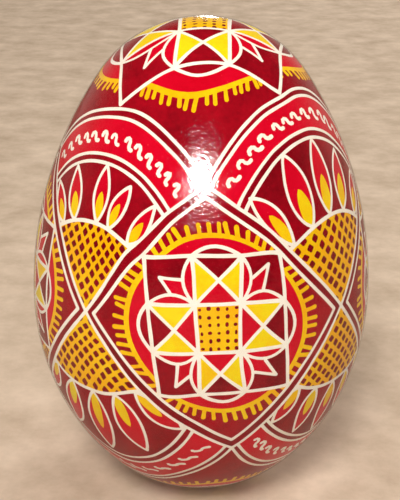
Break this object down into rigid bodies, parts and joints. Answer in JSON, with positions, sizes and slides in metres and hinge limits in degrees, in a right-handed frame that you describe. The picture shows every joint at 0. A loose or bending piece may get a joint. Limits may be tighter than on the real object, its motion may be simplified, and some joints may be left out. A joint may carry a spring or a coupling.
{
  "type": "pysanka decorated egg",
  "caption": "Blown eggshell dyed in a wax-resist pattern of stars, fans and bands under clear gloss varnish, with a blow hole in its blunt end.",
  "frame": {"origin": "on the egg's long axis, at the lowest point of the blunt end, which is the bottom as the egg is displayed", "axes": "+Z along the long axis from the blunt end to the tip; -Y towards the front star panel, about 7 degrees to the left of its centre; +X to the right of it"},
  "size_m": [0.043, 0.043, 0.0619],
  "materials": {
    "bare_shell": "ivory calcite, bleached almost white, under clear varnish",
    "membrane": "dried fibrous protein film, matt and slightly translucent",
    "yellow_dye": "golden yellow aniline dye, faintly mottled, under varnish",
    "red_dye": "crimson red aniline dye, mottled, under varnish",
    "burgundy_dye": "dark burgundy aniline dye over red, mottled, under varnish",
    "varnish": "clear oil-based gloss varnish, with the shell's fine pores showing through as dimples"
  },
  "bodies": {
    "root": {"eggshell": "bare_shell", "outer_membrane": "membrane", "inner_membrane": "membrane", "yellow_dye_coat": "yellow_dye", "red_dye_coat": "red_dye", "burgundy_dye_coat": "burgundy_dye", "varnish_coat": "varnish"}
  },
  "joints": []
}
